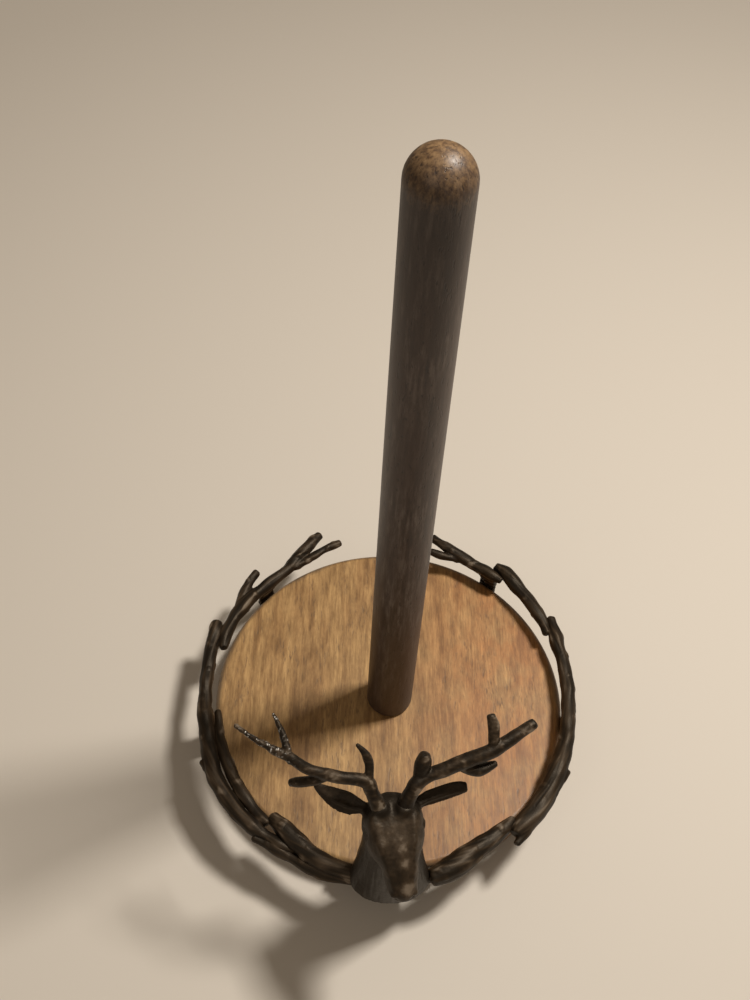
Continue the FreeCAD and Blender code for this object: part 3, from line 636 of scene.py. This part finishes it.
stag = {
    "turn": 9.0,  # degrees
    "roughVoxel": 0.5,
    "voxel": 0.4,
    "relaxTimes": 5,
    "middle": -2.9,  # mm from the poll's line to the middle of the skull
    "neck": [(-1, 0, -97, 10, 4), (-1, -2, -90, 13, 6.5), (-1, -4, -76, 18, 11),
             (-1.5, -3.5, -58, 15.5, 12.5), (-2, -3, -40, 13, 13), (-2.5, -2, -22, 11.6, 12.4),
             (-3, 0, -8, 10, 8.5)],
    "skull": [(-3, 6.5, -6, 4, 4.5), (-3, 2.5, -6.5, 10.4, 8.5), (-2.6, -4.5, -7.5, 13, 9.3),
              (-2, -9, -9, 12.6, 9.2), (-1.3, -13, -10.5, 11.2, 9), (0.1, -20, -13.5, 8.4, 7.4),
              (1.1, -26, -16.5, 6.6, 5.9), (1.7, -29, -18, 5.8, 5.0), (1.9, -31, -18.9, 4.5, 4.0),
              (2.0, -32.3, -19.5, 2.5, 2.5)],
    "earLeft": [(-9, -1, -5, 2.4, 2), (-14.4, 0.2, -5, 2.7, 1.9), (-20.5, 1.9, -4.9, 4.9, 1.8),
                (-26, 4, -4.4, 4.6, 1.7), (-31.2, 6.9, -4, 2.9, 1.5), (-35, 9.4, -3.6, 1.0, 0.9)],
    "earRight": [(4, -1, -5, 2.4, 2), (7.9, 2.7, -5, 2.8, 1.9), (12.5, 5, -4.7, 3.6, 1.8),
                 (17.7, 6.8, -4.4, 3.7, 1.7), (23, 8.6, -4.1, 3.5, 1.5), (27.8, 9.5, -3.8, 2.3, 1.1)],
    "pushes": [  # place, reach, way, amount; each is made on both sides
        ((12.8, 7.5, -6), 3.2, (-1, 0.1, 0.1), 1.7),
        ((10.6, 5.2, 0.2), 3.2, (0.5, 0, 0.8), 1.0),
        ((10.8, 12.5, -15), 5.0, (1, 0, -0.2), 1.0),
        ((8.6, 20, -12.5), 4.2, (-1, 0, 0.2), 1.0),
        ((6.8, 16, -3.2), 2.2, (0.3, 0, 1), 0.5),
        ((5.3, 24, -9.2), 2.0, (0.3, 0, 1), 0.4),
        ((4.2, 30.8, -16.4), 1.8, (0.8, 0.4, 0.4), 1.0),
        ((3.4, 33, -17.2), 1.2, (-0.4, 1, 0.2), -1.8),
        ((4.8, 31.5, -21.4), 1.0, (-0.9, -0.3, 0), 0.9),
        ((5.5, 28.5, -20.8), 1.0, (-1, 0, 0), 0.8),
        ((6.2, 25.5, -19.8), 1.0, (-1, 0, 0), 0.8),
        ((6.8, 22.6, -18.6), 1.0, (-1, 0, 0), 0.7),
        ((0, 34.5, -20.8), 1.3, (0, -1, 0), 0.5),
        ((0, 8, 1.5), 5.0, (0, 0, -1), 0.45),
        ((0, 19, -5), 2.2, (0, 0.3, 1), 0.3),
        ((0, 24, -8.6), 2.2, (0, 0.3, 1), 0.35),
        ((0, 31, -14.6), 2.3, (0, 0.5, 1), 0.9),
        ((9.6, -2, -1), 3.6, (-0.8, 0, -0.5), 0.7),
        ((0, -5, 0), 4.0, (0, 0, 1), 0.5),
    ],
    "pedicles": [
        [(-5.2, -4.6, -7, 1.5), (-6.6, -3.4, -3, 1.25), (-8.2, -2, 0.5, 0.95)],
        [(0.6, -4.6, -7, 1.5), (1.0, -3.4, -3, 1.25), (1.6, -1.7, 0.5, 0.95)],
    ],
    "eye": ((9.7, 7.8, -6.2), 2.0),
    "lids": [
        [(10.6, 4.6, -6.2, 0.1), (11.5, 6.2, -4.6, 0.15), (11.3, 8.8, -4.7, 0.15),
         (10.1, 11, -7, 0.1)],
        [(10.6, 4.6, -6.2, 0.1), (11.3, 6.6, -7.9, 0.12), (10.9, 9.1, -8, 0.12),
         (10.1, 11, -7, 0.1)],
    ],
    # painted highlights: the first three spots light the nose and the right side of the nasal ridge;
    # the rest add painted highlight and rubbed wear on the forehead and the face ridges
    "rubbed_and_painted_highlight": [((1.4, 30, -13), 3.2, 0.9), ((1.4, 22, -7), 2.4, 0.75), ((1.2, 17, -4), 2.4, 0.5),
               ((0, 10, 0), 9.0, 0.35), ((9, 8, 0), 3.0, 0.2), ((7, 16, -4.5), 2.6, 0.25),
               ((-9, 8, 0), 3.0, 0.2), ((-7, 16, -4.5), 2.6, 0.25), ((-5.4, 24, -9.5), 2.4, 0.25),
               ((5.4, 24, -9.5), 2.4, 0.3)],
    "dark": [((5.5, -1, 1), 6.5, 0.8), ((-5.5, -1, 1), 6.5, 0.8), ((0, 10, -40), 30.0, 0.25)],
}


def onHead(side, forward, up):
    turned = Matrix.Rotation(math.radians(stag["turn"]), 3, "Z") @ Vector((side, -forward, up))
    return poll + Vector((stag["middle"], 0, 0)) + turned


def loft(bm, stations, across, shape=None, origin=poll):
    half = through([(*station[:3], station[3]) for station in stations], casting["loftStep"])
    deep = through([(*station[:3], station[4]) for station in stations], casting["loftStep"])
    places = [origin + point.to_3d() for point in half]
    frames = ringFrames(places, [(max(a[3], 0.3), max(b[3], 0.3)) for a, b in zip(half, deep)],
                        Vector(across))
    own = bmesh.new()
    rings = sweep(own, frames, casting["loftSides"])
    if shape:
        for index, (ring, frame) in enumerate(zip(rings, frames)):
            back = frame.inverted()
            for vert in ring:
                flat = back @ vert.co
                vert.co = frame @ Vector((*shape(flat.x, flat.y, index / (len(rings) - 1)), 0))
    addTo(bm, own)


skullShape = {  # shares of the half sizes, and of the way along the skull
    "boxiness": 0.72,  # exponent of the outline, which grows to 1 along the muzzle
    "muzzle": (0.72, 0.28),  # where the muzzle starts, and its length
    "topBoxiness": 0.08,
    "brow": (0.14, 0.7, 0.14),  # height, place across and width of the ridge at each side
    "crest": (0.2, 0.3),  # height and width of the ridge down the nose
    "crestAlong": (0.4, 0.3),  # where it starts, and how soon it is full
    "topNarrowing": 0.16,
    "jawNarrowing": 0.36,
    "saddle": 0.09,
}


def skullSection(side, rise, along):
    values = skullShape
    start, length = values["muzzle"]
    boxy = values["boxiness"] + length * clamp((along - start) / length)
    wide = math.copysign(abs(side) ** boxy, side)
    if rise > 0:
        tall = rise ** (boxy - values["topBoxiness"])
        height, place, width = values["brow"]
        ridge = height * math.exp(-((abs(wide) - place) / width) ** 2)
        height, width = values["crest"]
        start, length = values["crestAlong"]
        crest = height * clamp((along - start) / length) * math.exp(-(wide / width) ** 2)
        return (wide * (1 - values["topNarrowing"] * rise),
                tall + ridge + crest - values["saddle"] * (1 - wide * wide))
    return wide * (1 - values["jawNarrowing"] * rise * rise), rise


earShape = {
    "dish": 1.15,
    "reach": (1.1, 0.6),  # how soon the hollow closes at the tip, and how blunt it is
    "fold": (0.9, 0.25, 0.13),  # height, place across and width of the fold in the hollow
}


def earSection(facing):
    def section(side, rise, along):
        if rise * facing <= 0:
            return side, rise
        close, blunt = earShape["reach"]
        reach = math.sin(math.pi * min(1, along * close)) ** blunt
        height, place, width = earShape["fold"]
        fold = height * math.exp(-((side + place) / width) ** 2)
        hollow = earShape["dish"] * (1 - side ** 4) * reach
        return side, rise - facing * (hollow - fold * reach)
    return section


def push(bm, place, reach, way, amount):
    centre = onHead(*place) * mm
    move = (onHead(*way) - onHead(0, 0, 0)).normalized() * amount * mm
    for vert in bm.verts:
        near = (vert.co - centre).length / (reach * mm)
        if near < 2:
            vert.co += move * math.exp(-1.6 * near * near)


def neckPlate(bm):
    values = {"inner": 87.6, "outer": 90.1, "foot": 7.0, "top": 20.5, "angle": 30.0, "steps": 16}
    own = bmesh.new()
    bmesh.ops.create_grid(own, x_segments=1, y_segments=1, size=0.5)
    start = math.radians(-90 - values["angle"] / 2)
    bmesh.ops.transform(own, verts=own.verts, matrix=Matrix.Rotation(start, 4, "Z")
                        @ Matrix.Translation(Vector(((values["inner"] + values["outer"]) / 2, 0,
                                                     (values["foot"] + values["top"]) / 2)) * mm)
                        @ Matrix.Rotation(math.pi / 2, 4, "X")
                        @ Matrix.Diagonal(((values["outer"] - values["inner"]) * mm,
                                           (values["top"] - values["foot"]) * mm, 1, 1)))
    face = own.faces[:][0:1]
    bmesh.ops.duplicate(own, geom=face)  # the copy stays behind as the first end
    bmesh.ops.spin(own, geom=face + list(face[0].edges) + list(face[0].verts), axis=(0, 0, 1),
                   angle=math.radians(values["angle"]), steps=values["steps"])
    bmesh.ops.remove_doubles(own, verts=own.verts, dist=1e-6)
    addTo(bm, own)


lugs = {
    "voxel": 0.4,
    # angle round the base, and how far out the length lies that the lug carries
    "places": {"lug_rear_right": (52.5, 87.3), "lug_rear_left": (137.5, 87.3),
               "lug_left": (190, 91.6), "lug_right": (-8, 88.6)},
    "plateOut": 88.9,
    "boxiness": 0.6,
    # share of the way from the plate to the length, height, half width, half thickness
    "stations": [(0, 7.6, 3.6, 1.0), (0, 8.6, 4.9, 1.3), (0, 20, 5.0, 1.3), (0, 23.5, 5.2, 1.7),
                 (0.5, 27, 5.6, 2.5), (1, 30.5, 5.8, 2.9), (1, 33, 4.6, 2.4)],
}


def plateSection(side, rise, along):
    boxy = lugs["boxiness"]
    return math.copysign(abs(side) ** boxy, side), math.copysign(abs(rise) ** boxy, rise)


def makeLugs(material):
    for name, (angle, reach) in lugs["places"].items():
        turn = math.radians(angle)
        outward = Vector((math.cos(turn), math.sin(turn), 0))
        stations = []
        for share, up, wide, thick in lugs["stations"]:
            out = lugs["plateOut"] + share * (reach - lugs["plateOut"])
            stations.append((*(outward * out + Vector((0, 0, up))), wide, thick))
        bm = bmesh.new()
        loft(bm, stations, (-outward.y, outward.x, 0), plateSection, Vector((0, 0, 0)))
        finishCasting(name + "_cast", joined(bm, lugs["voxel"]), wreathRelief, material, [name])


coatShape = {  # rates are per mm or per radian, heights in mm
    "hammered": ((0.55, 0.09), (1.5, 0.045)),  # rate and height
    "from": (20, 16),  # mm below the poll where the combed coat starts, and how soon it is full
    "middle": (1.5, 3),  # mm from the poll to the axis of the neck
    "strand": (6, 0.07, 0.3),  # rate round the neck, rate down it, height
    "fine": (15, 0.12, 0.13),
    "rub_and_painted_highlight": 0.42,
    "hammeredRub": 2.4,
    "coatRub": 0.25,
    "fineRub": 0.15,
}


def headRelief(point):
    values = coatShape
    place = point - poll
    (broad, broadHeight), (close, closeHeight) = values["hammered"]
    hammered = noise.noise(point * broad) * broadHeight + noise.noise(point * close) * closeHeight
    start, length = values["from"]
    coat = clamp((-place.z - start) / length)
    angle = math.atan2(place.x + values["middle"][0], place.y + values["middle"][1])
    around, down, strandHeight = values["strand"]
    strand = noise.noise(Vector((angle * around, place.z * down, 3)))
    around, down, fineHeight = values["fine"]
    fine = noise.noise(Vector((angle * around, place.z * down, 9)))
    height = hammered * (1 - 0.5 * coat) + coat * (strandHeight * strand + fineHeight * fine)
    rub_and_painted_highlight = (values["rub_and_painted_highlight"] + values["hammeredRub"] * hammered - values["coatRub"] * coat
           + coat * (values["coatRub"] * strand + values["fineRub"] * fine))
    # the listed spots raise the rub with painted highlight and rubbed wear, or lower it where the
    # casting is darker
    for marks, sign in ((stag["rubbed_and_painted_highlight"], 1), (stag["dark"], -1)):
        for spot, reach, amount in marks:
            rub_and_painted_highlight += sign * amount * math.exp(-((point - onHead(*spot)).length / reach) ** 2)
    return height, clamp(rub_and_painted_highlight), 0.0


def makeHead(material):
    bm = bmesh.new()
    loft(bm, stag["neck"], (1, 0, 0))
    loft(bm, stag["skull"], (1, 0, 0), skullSection)
    loft(bm, stag["earLeft"], (0.1, 0.8, 0.6), earSection(-1))
    loft(bm, stag["earRight"], (-0.1, 0.8, 0.6), earSection(1))
    neckPlate(bm)
    for knots in stag["pedicles"]:
        limb(bm, [(*(poll + Vector(knot[:3])), knot[3]) for knot in knots])
    bm = joined(bm, stag["roughVoxel"])
    relax(bm, stag["relaxTimes"])
    for place, reach, way, amount in stag["pushes"]:
        for side in (1, -1) if place[0] else (1,):
            push(bm, (side * place[0], *place[1:]), reach, (side * way[0], *way[1:]), amount)
    for side in (1, -1):
        (across, forward, up), radius = stag["eye"]
        own = bmesh.new()
        bmesh.ops.create_uvsphere(own, u_segments=24, v_segments=16, radius=radius * mm)
        bmesh.ops.translate(own, verts=own.verts, vec=onHead(side * across, forward, up) * mm)
        addTo(bm, own)
        for lid in stag["lids"]:
            limb(bm, [(*onHead(side * knot[0], *knot[1:3]), knot[3]) for knot in lid])
    finishCasting("stag_head_cast", joined(bm, stag["voxel"]), headRelief, material, ["stag_head"])


# finishes of the castings and the small parts

antique = {
    "black": (0.008, 0.0056, 0.0036),
    "brown": (0.020, 0.0125, 0.0068),
    # the two lightest stops are rubbed wear on raised parts, and painted highlight where the head's
    # highlight spots lift the rub
    "rubbed_and_painted_highlight": (0.050, 0.033, 0.0195),
    "polish_and_painted_highlight": (0.150, 0.115, 0.082),
    "gloss": (1.0, 0.84, 0.66),
    "silver": (0.72, 0.69, 0.64),
    "specular": 0.34,
    "roughness": (0.38, 0.60),
    "patchRate": 90,  # per metre
    "grainRate": 1400,
    "bump": 0.0001,  # metres
}


def makeAntique(name):
    values = antique
    material, tree, shader = newMaterial(name)
    where = objectSpace(tree)
    patches = cloud(tree, where, values["patchRate"], 4, 0.6)
    grain = cloud(tree, where, values["grainRate"], 3, 0.6)
    # rub holds rubbed wear, and on the head painted highlights as well
    rub_and_painted_highlight = node(tree, "ShaderNodeAttribute", attribute_name="rub_and_painted_highlight").outputs["Fac"]
    mottled = arithmetic(tree, "ADD", patches, arithmetic(tree, "MULTIPLY", grain, 0.5))
    worn = arithmetic(tree, "ADD", arithmetic(tree, "MULTIPLY", mottled, 0.2),
                      arithmetic(tree, "MULTIPLY", rub_and_painted_highlight, 0.8))
    # lighter with more rub: rubbed wear, and painted highlight at the top stops on the head
    colour = ramp(tree, worn, [(0.28, values["black"]), (0.50, values["brown"]),
                               (0.74, values["rubbed_and_painted_highlight"]), (0.95, values["polish_and_painted_highlight"])])
    bare = node(tree, "ShaderNodeAttribute", attribute_name="bare").outputs["Fac"]
    colour = blend(tree, bare, colour, values["silver"])
    tree.links.new(bare, shader.inputs["Metallic"])
    shader.inputs["Specular IOR Level"].default_value = values["specular"]
    shader.inputs["Specular Tint"].default_value = (*values["gloss"], 1)
    tree.links.new(colour, shader.inputs["Base Color"])
    rough = node(tree, "ShaderNodeMapRange", {"Value": grain})
    rough.inputs["To Min"].default_value = values["roughness"][0]
    rough.inputs["To Max"].default_value = values["roughness"][1]
    tree.links.new(rough.outputs["Result"], shader.inputs["Roughness"])
    bump(tree, shader, grain, values["bump"], 0.5)
    return material


smallParts = {  # colour, metallic, roughness, grain rate per metre, bump in metres
    "felt_pad": ((0.035, 0.032, 0.030), 0.0, 0.95, 2600, 0.00025),
    "post_washer": ((0.42, 0.42, 0.41), 0.9, 0.38, 1500, 0.00003),
    "post_screw": ((0.42, 0.42, 0.41), 0.9, 0.35, 1500, 0.00003),
    "lug_screws": ((0.03, 0.026, 0.022), 0.6, 0.42, 1500, 0.00004),
    "neck_screws": ((0.03, 0.026, 0.022), 0.6, 0.42, 1500, 0.00004),
}


def makeSmallParts():
    for name, (colour, metallic, roughness, rate, depth) in smallParts.items():
        material, tree, shader = newMaterial(name + "Finish")
        grain = cloud(tree, objectSpace(tree), rate, 4, 0.65)
        darker = tuple(0.55 * part for part in colour)
        tree.links.new(ramp(tree, grain, [(0.3, darker), (0.7, colour)]), shader.inputs["Base Color"])
        shader.inputs["Metallic"].default_value = metallic
        shader.inputs["Roughness"].default_value = roughness
        bump(tree, shader, grain, depth)
        dress(name, material)


def dress(name, material):
    nodes[name].data.materials.clear()
    nodes[name].data.materials.append(material)


makeCamera()
makeStudio()
dress("base_disc", makeDiscWood())
dress("post", makePostWood())
makeSmallParts()
print("wood and small parts done")
castMetal = makeAntique("antiqueCasting")
makeWreath(castMetal)
makeAntlers(castMetal)
makeHead(castMetal)
makeLugs(castMetal)
print("castings done")
